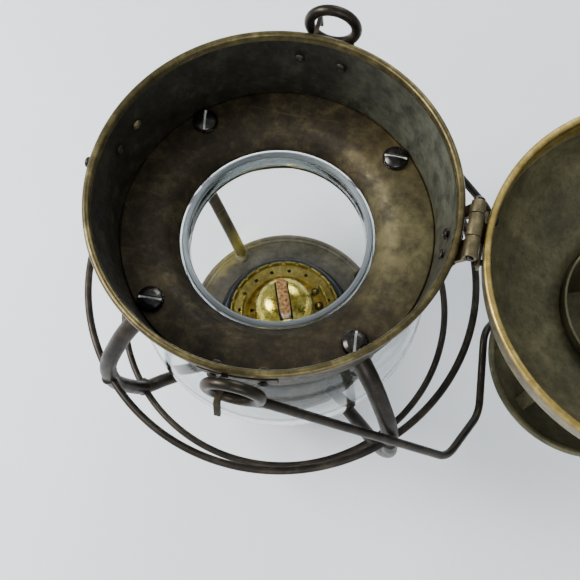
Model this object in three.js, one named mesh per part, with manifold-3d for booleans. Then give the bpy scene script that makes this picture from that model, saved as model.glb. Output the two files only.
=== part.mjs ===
import * as THREE from 'three';
import { mergeVertices } from 'three/addons/utils/BufferGeometryUtils.js';
import Module from 'manifold-3d';

// Railway hand lantern, standing on its base with the lid swung fully open.
// Millimetres, +Z up, origin under the base on the lantern axis.
// +X is the hinge side, -X the latch side, the bail ears are at -Y (front) and +Y (back).

const wasm = await Module();
wasm.setup();

const DEG = Math.PI / 180;
const GAP = 0.3;
const ROUND = 36;

// Collar: the rolled band that carries the hinge, the latch and the bail ears.
const RIM_Z = 207;
const COLLAR_R = 73.4;
const COLLAR_WAIST = { radius: 69.9, z: 175 };
const COLLAR_BOTTOM_Z = 168.2;

// Crown plate: pressed ring inside the collar, screwed to the four guard rods.
const PLATE_TOP_Z = 171;
const PLATE_THICK = 1.6;
const PLATE_R = 67.6;
const SCREW_CIRCLE_R = 61.5;
const SCREW_ANGLES = [45, 135, 225, 315];
const SCREW_SLOT_ANGLES = [10, 100, 5, 80];
const SCREW_HEAD_R = 5.8;
const SCREW_SHANK_R = 2.4;

// Guard cage.
const ROD_TOP_R = 4.4;
const ROD_FOOT_R = 3.3;
const ROD_FOOT_Z = 38.3;
const UPPER_RING = { radius: 95.2, z: 114.3, wire: 1.8 };
const LOWER_RING = { radius: 86.3, z: 70, wire: 1.75 };

// Glass globe.
const GLOBE_R = 71.5;
const GLOBE_Z = 103;
const GLASS_WALL = 2;
const CROWN_HEIGHT = 60;
const NECK_OUTER_R = 42.1;
const NECK_INNER_R = 39.2;
const NECK_TOP_Z = 162.3;
const FOOT_OUTER_R = 37.6;
const FOOT_INNER_R = 35.2;

// Base drum and fount.
const BASE_TOP_Z = 38;
const BASE_RIM_R = 56;
const DRUM_R = 50.8;

// Burner and wick.
const WICK_ANGLE = 112;
const WICK_WIDTH = 20;
const WICK_THICK = 5.6;
const WICK_TOP_Z = 84.5;
const WICK_BOTTOM_Z = 12;
const SPINDLE_Z = 30;
const SPINDLE_R = 1.2;
const WHEEL_R = 3.6;
const SPINDLE_OFFSET = WICK_THICK / 2 + GAP + WHEEL_R;
const KNOB_R = 6;
const KNOB_START = 36;

// Main hinge between collar and lid.
const HINGE_X = 79;
const HINGE_Z = 207.3;
const KNUCKLE_R = 2.9;
const HINGE_PIN_R = 1.3;
const HINGE_HALF = 12;

// Lid, described shut: heights above the plane of its lower edge.
const LID_EDGE_Z = 207.4;

// Latch.
const STUD_Z = 198;
const HASP_PIVOT_R = 77;
const HASP_PIVOT_Z = 211;

// Bail, in its own sloping plane: reach from the pivot line and distance from the centre plane.
const BAIL_PIVOT = { x: 5, z: 205 };
const BAIL_DROOP = 50;
const BAIL_WIRE_R = 1.95;
const BAIL_EYE = { y: 81, radius: 10.2, wire: 2.3 };

// ---------------------------------------------------------------- shapes

// Welds a geometry, drops empty triangles and turns it outward.
function clean(geometry) {
  const bare = new THREE.BufferGeometry();
  bare.setAttribute('position', geometry.getAttribute('position').clone());
  if (geometry.index) {
    bare.setIndex(geometry.index.clone());
  }
  const merged = mergeVertices(bare, 1e-4);
  const index = merged.index.array;
  const kept = [];
  for (let i = 0; i < index.length; i += 3) {
    const [a, b, c] = [index[i], index[i + 1], index[i + 2]];
    if (a !== b && b !== c && a !== c) {
      kept.push(a, b, c);
    }
  }
  merged.setIndex(kept);
  if (signedVolume(merged) < 0) {
    for (let i = 0; i < kept.length; i += 3) {
      [kept[i + 1], kept[i + 2]] = [kept[i + 2], kept[i + 1]];
    }
    merged.setIndex(kept);
  }
  return merged;
}

function signedVolume(geometry) {
  const at = geometry.getAttribute('position');
  const index = geometry.index.array;
  const a = new THREE.Vector3();
  const b = new THREE.Vector3();
  const c = new THREE.Vector3();
  let total = 0;
  for (let i = 0; i < index.length; i += 3) {
    a.fromBufferAttribute(at, index[i]);
    b.fromBufferAttribute(at, index[i + 1]);
    c.fromBufferAttribute(at, index[i + 2]);
    total += a.dot(b.cross(c));
  }
  return total / 6;
}

function toSolid(geometry) {
  const welded = clean(geometry);
  return new wasm.Manifold(new wasm.Mesh({
    numProp: 3,
    vertProperties: new Float32Array(welded.getAttribute('position').array),
    triVerts: new Uint32Array(welded.index.array),
  }));
}

function fromSolid(solid) {
  const mesh = solid.getMesh();
  const geometry = new THREE.BufferGeometry();
  geometry.setAttribute('position', new THREE.BufferAttribute(mesh.vertProperties, 3));
  geometry.setIndex(new THREE.BufferAttribute(mesh.triVerts, 1));
  return geometry;
}

function cut(geometry, ...tools) {
  let solid = toSolid(geometry);
  for (const tool of tools) {
    solid = solid.subtract(toSolid(tool));
  }
  return fromSolid(solid);
}

function common(geometry, other) {
  return fromSolid(toSolid(geometry).intersect(toSolid(other)));
}

function join(...geometries) {
  let solid = toSolid(geometries[0]);
  for (const other of geometries.slice(1)) {
    solid = solid.add(toSolid(other));
  }
  return fromSolid(solid);
}

// Turns a closed outline of [radius, height] pairs about the Z axis.
function lathe(outline, segments = ROUND) {
  const points = outline.map(([r, z]) => new THREE.Vector2(r, z));
  points.push(points[0].clone());
  return clean(new THREE.LatheGeometry(points, segments).rotateX(Math.PI / 2));
}

// Extrudes an outline of [x, y] pairs upward from z0 to z1.
function prism(outline, z0, z1) {
  const shape = new THREE.Shape(outline.map(([x, y]) => new THREE.Vector2(x, y)));
  const geometry = new THREE.ExtrudeGeometry(shape, { depth: z1 - z0, bevelEnabled: false });
  return clean(geometry.translate(0, 0, z0));
}

// Extrudes an outline of [radius, z] pairs across a width, in the upright plane at an angle.
function radialPlate(outline, side0, side1, angle = 0) {
  const geometry = prism(outline, -side1, -side0).rotateX(Math.PI / 2);
  return clean(geometry.rotateZ(angle * DEG));
}

// Curved plate between two radii, two heights and two angles.
function sector(r0, r1, z0, z1, a0, a1, steps = 6) {
  const outline = [];
  for (let i = 0; i <= steps; i += 1) {
    const a = (a0 + (a1 - a0) * i / steps) * DEG;
    outline.push([r1 * Math.cos(a), r1 * Math.sin(a)]);
  }
  for (let i = steps; i >= 0; i -= 1) {
    const a = (a0 + (a1 - a0) * i / steps) * DEG;
    outline.push([r0 * Math.cos(a), r0 * Math.sin(a)]);
  }
  return prism(outline, z0, z1);
}

function block(x0, x1, y0, y1, z0, z1) {
  const geometry = new THREE.BoxGeometry(x1 - x0, y1 - y0, z1 - z0);
  return clean(geometry.translate((x0 + x1) / 2, (y0 + y1) / 2, (z0 + z1) / 2));
}

// Moves a shape made along +Z so that it starts at a point and runs in a direction.
function along(geometry, start, direction) {
  const turn = new THREE.Quaternion().setFromUnitVectors(
    new THREE.Vector3(0, 0, 1),
    new THREE.Vector3(...direction).normalize(),
  );
  return geometry.clone().applyQuaternion(turn).translate(...start);
}

function bar(radius, start, direction, length, sides = 12) {
  const outline = [[0, 0], [radius, 0], [radius, length], [0, length]];
  return along(lathe(outline, sides), start, direction);
}

function polar(radius, angle, z) {
  return [radius * Math.cos(angle * DEG), radius * Math.sin(angle * DEG), z];
}

function outward(angle) {
  return polar(1, angle, 0);
}

// Sweeps a circle along a flat path; the radius may change from start to end.
function sweep(path, startRadius, endRadius, planeNormal, sides) {
  const side = new THREE.Vector3(...planeNormal).normalize();
  const last = path.length - 1;
  const position = [];
  const index = [];
  path.forEach((point, i) => {
    const before = path[Math.max(i - 1, 0)];
    const after = path[Math.min(i + 1, last)];
    const tangent = after.clone().sub(before).normalize();
    const other = side.clone().cross(tangent);
    const radius = startRadius + (endRadius - startRadius) * i / last;
    for (let k = 0; k < sides; k += 1) {
      const a = 2 * Math.PI * k / sides;
      const spot = point.clone();
      spot.addScaledVector(side, radius * Math.cos(a));
      spot.addScaledVector(other, radius * Math.sin(a));
      position.push(spot.x, spot.y, spot.z);
    }
  });
  for (let i = 0; i < last; i += 1) {
    for (let k = 0; k < sides; k += 1) {
      const a = i * sides + k;
      const b = i * sides + (k + 1) % sides;
      index.push(a, b, b + sides, a, b + sides, a + sides);
    }
  }
  for (let k = 1; k < sides - 1; k += 1) {
    const end = last * sides;
    index.push(0, k + 1, k, end, end + k, end + k + 1);
  }
  const geometry = new THREE.BufferGeometry();
  geometry.setAttribute('position', new THREE.Float32BufferAttribute(position, 3));
  geometry.setIndex(index);
  return clean(geometry);
}

// Rounds the corners of a path of [a, b] pairs.
function soften(corners, reach, steps) {
  const points = [new THREE.Vector2(...corners[0])];
  for (let i = 1; i < corners.length - 1; i += 1) {
    const here = new THREE.Vector2(...corners[i]);
    const before = new THREE.Vector2(...corners[i - 1]).sub(here);
    const after = new THREE.Vector2(...corners[i + 1]).sub(here);
    const r = Math.min(reach, before.length() / 2.1, after.length() / 2.1);
    const curve = new THREE.QuadraticBezierCurve(
      here.clone().addScaledVector(before.normalize(), r),
      here,
      here.clone().addScaledVector(after.normalize(), r),
    );
    points.push(...curve.getPoints(steps));
  }
  points.push(new THREE.Vector2(...corners.at(-1)));
  return points;
}

function flatRing(radius, wire, z, around = ROUND, sides = 6) {
  return clean(new THREE.TorusGeometry(radius, wire, sides, around).translate(0, 0, z));
}

// Lid pieces are described shut and swung half a turn about the hinge.
function openLid(geometry) {
  return geometry.rotateY(Math.PI).translate(2 * HINGE_X, 0, 2 * HINGE_Z);
}

// ---------------------------------------------------------------- assembly

const lantern = new THREE.Group();
lantern.name = 'railway_lantern';

const FINISHES = {
  patina: [0x4a3b2c, 0.62, 0.7],
  bronze: [0x4b4038, 0.5, 0.8],
  steel: [0x3c3a38, 0.35, 0.9],
  brass: [0xb08a3e, 0.35, 0.95],
  oldBrass: [0x8a7446, 0.5, 0.85],
  grey: [0x6a655b, 0.6, 0.6],
  glass: [0xdfe8ea, 0.05, 0],
  rubber: [0x1c2024, 0.6, 0],
  wick: [0xc9a58c, 0.95, 0],
  tin: [0x76776a, 0.55, 0.7],
};

function add(name, geometry, finish) {
  const [color, roughness, metalness] = FINISHES[finish];
  const material = new THREE.MeshStandardMaterial({ color, roughness, metalness });
  material.name = `${name}_finish`;
  const shape = clean(geometry);
  shape.computeVertexNormals();
  const mesh = new THREE.Mesh(shape, material);
  mesh.name = name;
  lantern.add(mesh);
}

// ---------------------------------------------------------------- rivets

// A rivet through a wall: inner head, shank and outer head, on a radial line.
function rivet(angle, z, innerSeat, outerSeat, headR = 2.3) {
  const shank = 1.2;
  const outline = [
    [0, innerSeat - 1.5], [headR * 0.6, innerSeat - 1.3], [headR, innerSeat - 0.4],
    [headR, innerSeat], [shank, innerSeat], [shank, outerSeat], [headR, outerSeat],
    [headR, outerSeat + 0.3], [headR * 0.6, outerSeat + 1.1], [0, outerSeat + 1.3],
  ];
  return along(lathe(outline, 8), [0, 0, z], outward(angle));
}

function rivetHole(angle, z) {
  return bar(1.6, polar(64, angle, z), outward(angle), 16, 8);
}

const WALL_RIVET_SEAT = 69.9;
const PLATE_SEAT = 74.7;
const LEAF_SEAT = 75.4;
const LID_LEAF_SEAT = 76.3;

const EARS = [
  { name: 'front', angle: 270, half: 1.75, rivets: [[265.6, 195], [280.5, 195]] },
  { name: 'back', angle: 90, half: 0.9, rivets: [[79.5, 195], [94.4, 195]] },
];
const LATCH_RIVETS = [[160, 193], [171, 193]];
const LEAF_RIVETS = [[1.8, 194], [-5.7, 194]];
const LID_RIVETS = [[7.2, 215.4], [-7.2, 215.4]];

// ---------------------------------------------------------------- collar and crown

const WALL_TOP_Z = 203.2;
const collarOutline = [
  [67, COLLAR_BOTTOM_Z], [68.4, COLLAR_BOTTOM_Z], [69.4, PLATE_TOP_Z],
  [COLLAR_WAIST.radius, COLLAR_WAIST.z], [COLLAR_R, WALL_TOP_Z], [74.7, 203.9],
  [75.2, 205.2], [74.7, 206.5], [73.6, RIM_Z], [72.4, 206.6], [71.9, 205.6], [71.9, 203.5],
  [68.6, 175], [68.1, 171.5], [68, 169.1], [67, 169.1],
];
const wallRivets = [...EARS[0].rivets, ...EARS[1].rivets, ...LATCH_RIVETS, ...LEAF_RIVETS];
add('collar_shell', cut(lathe(collarOutline), ...wallRivets.map((r) => rivetHole(...r))), 'patina');

// Outer radius of the sloping collar wall at a height.
function wallR(z) {
  const share = (z - COLLAR_WAIST.z) / (WALL_TOP_Z - COLLAR_WAIST.z);
  return COLLAR_WAIST.radius + (COLLAR_R - COLLAR_WAIST.radius) * share;
}

// Plate lying on the outside of the collar wall, between two heights and two angles.
function wallPlate(z0, z1, a0, a1) {
  const thick = GAP + 1.4;
  const band = lathe([
    [wallR(z0) + GAP, z0], [wallR(z0) + thick, z0], [wallR(z1) + thick, z1], [wallR(z1) + GAP, z1],
  ]);
  return common(band, sector(60, 80, z0 - 1, z1 + 1, a0, a1));
}

const plateUnder = PLATE_TOP_Z - PLATE_THICK;
const crownOutline = [
  [PLATE_R, plateUnder], [PLATE_R, PLATE_TOP_Z], [58, PLATE_TOP_Z], [52, 170.2], [47.5, 167.8],
  [44.6, 164.6], [43.2, 162.8], [42.8, 161.2], [44.1, 160.9], [45.6, 163.2], [48.6, 166.4],
  [52.6, 168.7], [58.2, plateUnder],
];
const screwHoles = SCREW_ANGLES.map((a) => (
  bar(SCREW_SHANK_R + GAP, polar(SCREW_CIRCLE_R, a, 163.2), [0, 0, 1], 12)
));
add('crown_plate', cut(lathe(crownOutline), ...screwHoles), 'patina');

const screwSeat = PLATE_TOP_Z + GAP;
const screwOutline = [
  [0, 163.6], [SCREW_SHANK_R, 163.6], [SCREW_SHANK_R, screwSeat], [SCREW_HEAD_R, screwSeat],
  [SCREW_HEAD_R, screwSeat + 0.9], [5.1, screwSeat + 2.1], [3, screwSeat + 3.0],
  [0, screwSeat + 3.4],
];
SCREW_ANGLES.forEach((angle, i) => {
  const slot = block(-7, 7, -0.6, 0.6, screwSeat + 1.9, screwSeat + 5);
  const screw = cut(lathe(screwOutline, 12), slot.rotateZ(SCREW_SLOT_ANGLES[i] * DEG));
  add(`crown_screw_${i + 1}`, screw.translate(...polar(SCREW_CIRCLE_R, angle, 0)), 'steel');
});

// ---------------------------------------------------------------- guard cage

const ROD_HEAD = [
  [61.5, 168.9], [61.5, 165.2], [63.4, 162.4], [68, 160.2], [73, 157], [78.6, 151.6],
  [84, 144.3], [90.2, 134], [94, 123],
];
const ROD_ELBOW = [[95.3, 111], [95.2, 100], [92, 86]];
const KNOCKED_ELBOW = [[95.4, 112], [97, 102], [97.2, 93], [93.5, 80]];
const ROD_TAIL = [[86.3, 70], [75.5, 62.6], [62, 52.6], [53.2, 43.6], [48.8, 36]];
SCREW_ANGLES.forEach((angle, i) => {
  const elbow = angle === 315 ? KNOCKED_ELBOW : ROD_ELBOW;
  const line = [...ROD_HEAD, ...elbow, ...ROD_TAIL];
  const knots = line.map(([r, z]) => new THREE.Vector3(...polar(r, angle, z)));
  const path = new THREE.CatmullRomCurve3(knots, false, 'centripetal').getPoints(22);
  const rod = sweep(path, ROD_TOP_R, ROD_FOOT_R, polar(1, angle + 90, 0), 8);
  const floor = block(-90, 90, -90, 90, 20, ROD_FOOT_Z);
  const rings = [UPPER_RING, LOWER_RING].map((ring) => (
    flatRing(ring.radius, ring.wire + GAP, ring.z)
  ));
  add(`guard_rod_${i + 1}`, cut(rod, floor, screwHoles[i], ...rings), 'bronze');
});
for (const [name, ring] of [['upper', UPPER_RING], ['lower', LOWER_RING]]) {
  add(`${name}_guard_ring`, flatRing(ring.radius, ring.wire, ring.z), 'bronze');
}

// ---------------------------------------------------------------- glass globe

// Points of the bulb from the lower to the upper neck; the upper half is flatter than a sphere.
function globeArc(radius, crown, lowR, highR, steps) {
  const start = -Math.acos(lowR / radius);
  const end = Math.acos(highR / radius);
  const points = [];
  for (let i = 0; i <= steps; i += 1) {
    const a = start + (end - start) * i / steps;
    const height = a < 0 ? radius : crown;
    points.push([radius * Math.cos(a), GLOBE_Z + height * Math.sin(a)]);
  }
  return points;
}
const innerArc = globeArc(
  GLOBE_R - GLASS_WALL, CROWN_HEIGHT - GLASS_WALL, FOOT_INNER_R, NECK_INNER_R, 12,
);
const globeOutline = [
  [FOOT_OUTER_R, ROD_FOOT_Z],
  ...globeArc(GLOBE_R, CROWN_HEIGHT, FOOT_OUTER_R, NECK_OUTER_R, 12),
  [NECK_OUTER_R, NECK_TOP_Z - 0.4], [NECK_OUTER_R - 0.4, NECK_TOP_Z],
  [NECK_INNER_R + 0.7, NECK_TOP_Z], [NECK_INNER_R, NECK_TOP_Z - 0.8],
  ...innerArc.reverse(),
  [FOOT_INNER_R, ROD_FOOT_Z],
];
add('glass_globe', lathe(globeOutline), 'glass');

// ---------------------------------------------------------------- burner directions

const wickWay = outward(WICK_ANGLE);
const faceWay = outward(WICK_ANGLE + 90);

// A block lying along the wick: across its width, its thickness and up.
function wickBlock(u0, u1, v0, v1, z0, z1) {
  return block(u0, u1, v0, v1, z0, z1).rotateZ(WICK_ANGLE * DEG);
}

function onSpindle(u) {
  return [
    wickWay[0] * u + faceWay[0] * SPINDLE_OFFSET,
    wickWay[1] * u + faceWay[1] * SPINDLE_OFFSET,
    SPINDLE_Z,
  ];
}

// ---------------------------------------------------------------- base and fount

const baseOutline = [
  [31.2, 50.5], [33.8, 50.5], [34.3, 50], [34.3, 38.6], [34.7, BASE_TOP_Z], [54.6, BASE_TOP_Z],
  [55.6, 37.5], [BASE_RIM_R, 36.6], [55.6, 35.7], [54.6, 35.3], [51.2, 35.3], [DRUM_R, 34.5],
  [DRUM_R, 5.6], [51.8, 4.2], [52, 2.4], [51.5, 0.7], [50.6, 0], [49.9, 0.6],
  [49.6, 5.6], [49.6, 33.9], [48.6, 36.6], [33.8, 36.6], [33, 37.4], [33, 49.3], [31.2, 49.3],
];
add('base_housing', lathe(baseOutline), 'grey');

const sealOutline = [
  [31.2, 50.8], [33.9, 50.8], [33.9, 51.9], [33.3, 52.5], [31.8, 52.5], [31.2, 51.9],
];
add('seal_ring', lathe(sealOutline, 28), 'rubber');

const fountOutline = [
  [0, 0], [40.5, 0], [45.3, 3], [46.5, 7], [46.5, 15.6], [43, 19.6], [14, 20.2], [14, 26],
  [12.4, 26], [12.4, 19], [42.5, 18.4], [45.3, 15], [45.3, 7.4], [44.3, 4], [40.1, 1.2],
  [0, 1.2],
];
add('fount_tank', lathe(fountOutline, 24), 'tin');

// ---------------------------------------------------------------- burner

const burnerCollarOutline = [
  [14.4, 20.6], [17.4, 20.6], [17.4, 25.2], [16.8, 26], [14.4, 26],
];
add('burner_collar', lathe(burnerCollarOutline, 20), 'oldBrass');

const burnerBodyOutline = [
  [15, 26.3], [16.2, 26.3], [16.2, 34], [20, 40], [24, 46], [27.5, 50], [28.6, 53.3],
  [27.4, 53.3], [26.5, 50.6], [23, 46.8], [19, 40.8], [15, 34.6],
];
const draftHoles = [];
for (let i = 0; i < 8; i += 1) {
  draftHoles.push(bar(1.5, polar(16, 45 * i + 7, 43.4), outward(45 * i + 7), 12, 6));
}
const spindleHole = bar(SPINDLE_R + GAP, onSpindle(2), wickWay, 22);
const burnerBody = cut(lathe(burnerBodyOutline, 24), spindleHole, ...draftHoles);
add('burner_body', burnerBody, 'oldBrass');

const galleryOutline = [
  [14, 58], [15.4, 58], [15.8, 55.5], [17, 53.4], [20.5, 53.4], [22, 54.8], [28.8, 54.8],
  [29.5, 57], [30.5, 57], [30.5, 54.8], [29.4, 53.7], [22.4, 53.7], [20.9, 52.3], [16.6, 52.3],
  [14.8, 54.8], [14.4, 57], [14, 57],
];
const galleryCuts = [];
for (let i = 0; i < 12; i += 1) {
  const notch = block(28.6, 32, -1.1, 1.1, 55.4, 60);
  galleryCuts.push(notch.rotateZ(30 * i * DEG));
}
for (let i = 0; i < 8; i += 1) {
  galleryCuts.push(bar(1.1, polar(25.4, 45 * i + 20, 52), [0, 0, 1], 5, 6));
}
add('burner_gallery', cut(lathe(galleryOutline, 24), ...galleryCuts), 'brass');

add('gallery_clip_left', sector(23.2, 24.2, 55.1, 60.5, 170, 202), 'brass');
add('gallery_clip_right', sector(23.6, 24.6, 55.1, 60.5, 20, 52), 'brass');

const domeOutline = [
  [16.7, 58.3], [16.7, 62.5], [16.4, 66], [15.3, 70.5], [13.2, 74.6], [9.9, 77.4], [5.5, 79],
  [0, 79.5], [0, 78.5], [5.2, 78], [9.3, 76.6], [12.3, 74], [14.3, 70.2], [15.4, 65.9],
  [15.7, 62.5], [15.7, 58.3],
];
const halfWick = WICK_WIDTH / 2;
const halfThick = WICK_THICK / 2;
const flameSlot = wickBlock(
  -halfWick - 0.9, halfWick + 0.9, -halfThick - 0.9, halfThick + 0.9, 73, 85,
);
add('burner_dome', cut(lathe(domeOutline, 24), flameSlot), 'brass');

const tubeTop = 70;
const wickTube = cut(
  join(
    wickBlock(-halfWick - 1.2, halfWick + 1.2, -halfThick - 1.1, halfThick + 1.1, 26.6, tubeTop),
    lathe([[0, 35], [14.6, 35], [14.6, 36.2], [0, 36.2]], 20),
  ),
  wickBlock(-halfWick - 0.4, halfWick + 0.4, -halfThick - GAP, halfThick + GAP, 20, tubeTop + 5),
  wickBlock(-6.4, -3.6, 1.5, 4.6, SPINDLE_Z - 4, SPINDLE_Z + 4),
  wickBlock(3.6, 6.4, 1.5, 4.6, SPINDLE_Z - 4, SPINDLE_Z + 4),
);
add('wick_tube', wickTube, 'oldBrass');

const wick = wickBlock(-halfWick, halfWick, -halfThick, halfThick, WICK_BOTTOM_Z, WICK_TOP_Z);
add('wick', wick, 'wick');

// Outline with alternating outer and inner points.
function toothed(outer, inner, teeth) {
  const outline = [];
  for (let i = 0; i < 2 * teeth; i += 1) {
    const r = i % 2 ? inner : outer;
    const a = Math.PI * i / teeth;
    outline.push([r * Math.cos(a), r * Math.sin(a)]);
  }
  return outline;
}

const wheel = prism(toothed(WHEEL_R, WHEEL_R - 0.8, 8), -0.8, 0.8);
const spindle = join(
  bar(SPINDLE_R, onSpindle(-7.5), wickWay, KNOB_START + 11.5),
  along(wheel, onSpindle(-5), wickWay),
  along(wheel, onSpindle(5), wickWay),
);
add('wick_spindle', spindle, 'steel');

const knobDisc = prism(toothed(KNOB_R, KNOB_R - 0.5, 20), 0, 4.5);
const knob = cut(
  along(knobDisc, onSpindle(KNOB_START), wickWay),
  bar(SPINDLE_R + GAP, onSpindle(KNOB_START - 2), wickWay, 10),
);
add('wick_knob', knob, 'brass');

// ---------------------------------------------------------------- bail ears

const hookOutline = [
  [73.6, 197], [74.5, 197], [75, 200.6], [77.4, 203], [84.9, 203], [85.2, 202.4],
  [87.7, 194.5], [89.1, 194.9], [86.6, 203.6], [85.6, 204.6], [76.8, 204.6], [73.6, 201.4],
];
for (const ear of EARS) {
  const flare = ear.name === 'back' ? [75, 99] : [261, 285];
  const plate = join(
    wallPlate(189, 200.5, ...flare),
    radialPlate(hookOutline, -ear.half, ear.half, ear.angle),
  );
  add(`${ear.name}_ear_bracket`, cut(plate, ...ear.rivets.map((r) => rivetHole(...r))), 'patina');
}
[...EARS[0].rivets, ...EARS[1].rivets].forEach((place, i) => {
  add(`ear_rivet_${i + 1}`, rivet(...place, WALL_RIVET_SEAT, PLATE_SEAT), 'bronze');
});

// ---------------------------------------------------------------- latch on the collar

const studHole = bar(1.7, polar(70, 180, STUD_Z), outward(180), 8);
const latchPlate = cut(
  wallPlate(189, 202, 155, 186),
  ...LATCH_RIVETS.map((r) => rivetHole(...r)),
  studHole,
);
add('latch_plate', latchPlate, 'patina');
LATCH_RIVETS.forEach((place, i) => {
  add(`latch_rivet_${i + 1}`, rivet(...place, WALL_RIVET_SEAT, PLATE_SEAT), 'oldBrass');
});
const studOutline = [
  [0, 73.2], [1.4, 73.2], [1.4, 75], [2, 75], [2, 77.4], [2.3, 77.7], [2.2, 78.7],
  [1.2, 79.3], [0, 79.4],
];
add('latch_stud', along(lathe(studOutline, 16), [0, 0, STUD_Z], outward(180)), 'bronze');

// ---------------------------------------------------------------- main hinge

// Leaf with its knuckles; height runs away from the hinge line, downward or upward.
function hingeLeaf(way, plateFrom, plateTo, lean, spans) {
  const at = (outline) => outline.map(([x, drop]) => [x, HINGE_Z + way * drop]);
  const arm = at([
    [73.9, 9.3], [75.1, 9.3], [75.1, 7.7], [78.9, 2.7], [78, 0.3], [76.4, 1.1], [76, 2.9],
    [73.9, 6.5],
  ]);
  const plate = at([
    [73.9, plateFrom], [75.1, plateFrom], [75.1 - lean, plateTo], [73.9 - lean, plateTo],
  ]);
  const pieces = [radialPlate(plate, -HINGE_HALF, HINGE_HALF)];
  for (const [y0, y1] of spans) {
    pieces.push(radialPlate(arm, y0, y1));
    pieces.push(bar(KNUCKLE_R, [HINGE_X, y0, HINGE_Z], [0, 1, 0], y1 - y0, 18));
  }
  const bore = bar(HINGE_PIN_R + GAP, [HINGE_X, -20, HINGE_Z], [0, 1, 0], 40, 14);
  return cut(join(...pieces), bore);
}

const collarLeaf = cut(
  hingeLeaf(-1, 6.5, 22.5, 2.2, [[6.65, HINGE_HALF], [-HINGE_HALF, -3.35]]),
  ...LEAF_RIVETS.map((r) => rivetHole(...r)),
);
add('hinge_collar_leaf', collarLeaf, 'oldBrass');
LEAF_RIVETS.forEach((place, i) => {
  add(`collar_hinge_rivet_${i + 1}`, rivet(...place, WALL_RIVET_SEAT, LEAF_SEAT), 'bronze');
});

const pinOutline = [
  [0, -12.8], [HINGE_PIN_R, -12.8], [HINGE_PIN_R, 12.3], [2.3, 12.3], [2.3, 13.2], [1.4, 13.9],
  [0, 14],
];
const hingePin = along(lathe(pinOutline, 14), [HINGE_X, 0, HINGE_Z], [0, 1, 0]);
add('hinge_pin', hingePin, 'steel');

// ---------------------------------------------------------------- lid

function lidLathe(outline, segments) {
  return lathe(outline.map(([r, h]) => [r, LID_EDGE_Z + h]), segments);
}

const lidLeaf = cut(
  hingeLeaf(1, 6.5, 10.3, 0, [[-3.05, 6.35]]),
  ...LID_RIVETS.map((r) => rivetHole(...r)),
);
add('hinge_lid_leaf', openLid(lidLeaf), 'oldBrass');
LID_RIVETS.forEach((place, i) => {
  add(`lid_hinge_rivet_${i + 1}`, openLid(rivet(...place, 71.5, LID_LEAF_SEAT, 1.9)), 'bronze');
});

const skirtOutline = [
  [72.2, 0], [73.9, 0], [74.6, 0.7], [74.6, 2.3], [73.9, 3], [73.6, 3.6], [73.6, 10.6],
  [72.8, 11.7], [71.8, 11.7], [72.2, 10.4], [72.2, 4.2], [71.6, 3.4], [71.6, 1],
];
const lidSkirt = cut(lidLathe(skirtOutline, ROUND), ...LID_RIVETS.map((r) => rivetHole(...r)));
add('lid_skirt', openLid(lidSkirt), 'oldBrass');

const lidDomeOutline = [
  [72.9, 12], [72.4, 14.5], [70, 20], [65.5, 26.5], [59, 32.5], [51, 37.8], [43, 42],
  [36.6, 45], [34.6, 45.6], [34.6, 44.4], [36.2, 43.8], [42.4, 40.9], [50.3, 36.8],
  [58.1, 31.6], [64.4, 25.7], [68.8, 19.5], [71.2, 14.2], [71.7, 12],
];
add('lid_dome', openLid(lidLathe(lidDomeOutline, ROUND)), 'tin');

const stackOutline = [
  [33, 38], [34.2, 38], [34.2, 46], [38.5, 46], [38.5, 47], [34.2, 47], [34.2, 110],
  [34.5, 111], [34.2, 112], [33.3, 112], [33, 111],
];
add('chimney_stack', openLid(lidLathe(stackOutline, 28)), 'tin');

const capOutline = [
  [0, 138], [14, 137.2], [26, 134.6], [36, 130], [43, 125], [46.8, 121.4], [48.2, 121.8],
  [49.6, 121.1], [50, 119.8], [49.6, 118.6], [48.3, 118], [46.9, 118.5], [46.2, 119.8],
  [45.6, 121], [42.2, 123.9], [35.4, 128.7], [25.6, 133.2], [13.8, 135.8], [0, 136.6],
];
add('chimney_cap', openLid(lidLathe(capOutline, 32)), 'tin');

const legOutline = [
  [34.6, 90], [35.7, 90], [35.7, 109.8], [43, 122.3], [42, 123], [34.6, 110.3],
].map(([r, h]) => [r, LID_EDGE_Z + h]);
SCREW_ANGLES.forEach((angle, i) => {
  add(`cap_leg_${i + 1}`, openLid(radialPlate(legOutline, -3.5, 3.5, angle)), 'tin');
});

// ---------------------------------------------------------------- hasp on the lid

const webOutline = [[77, 211], [77, 212.7], [74.4, 214.6], [74.4, 212.4]];
const haspBore = bar(1.1, [-HASP_PIVOT_R, -10, HASP_PIVOT_Z], [0, 1, 0], 20);
const bracketPieces = [sector(73.9, 75.1, LID_EDGE_Z + 4.2, LID_EDGE_Z + 10.2, 173, 187, 4)];
for (const y of [-6.2, 3.2]) {
  bracketPieces.push(bar(1.7, [-HASP_PIVOT_R, y, HASP_PIVOT_Z], [0, 1, 0], 3));
  bracketPieces.push(radialPlate(webOutline, -y - 3, -y, 180));
}
add('hasp_bracket', openLid(cut(join(...bracketPieces), haspBore)), 'oldBrass');

const haspPinOutline = [
  [0, -7], [1.5, -7], [1.5, -6.5], [0.8, -6.5], [0.8, 6.5], [1.5, 6.5], [1.5, 7], [0, 7],
];
const haspPivot = [-HASP_PIVOT_R, 0, HASP_PIVOT_Z];
add('hasp_pin', openLid(along(lathe(haspPinOutline, 12), haspPivot, [0, 1, 0])), 'steel');

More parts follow.
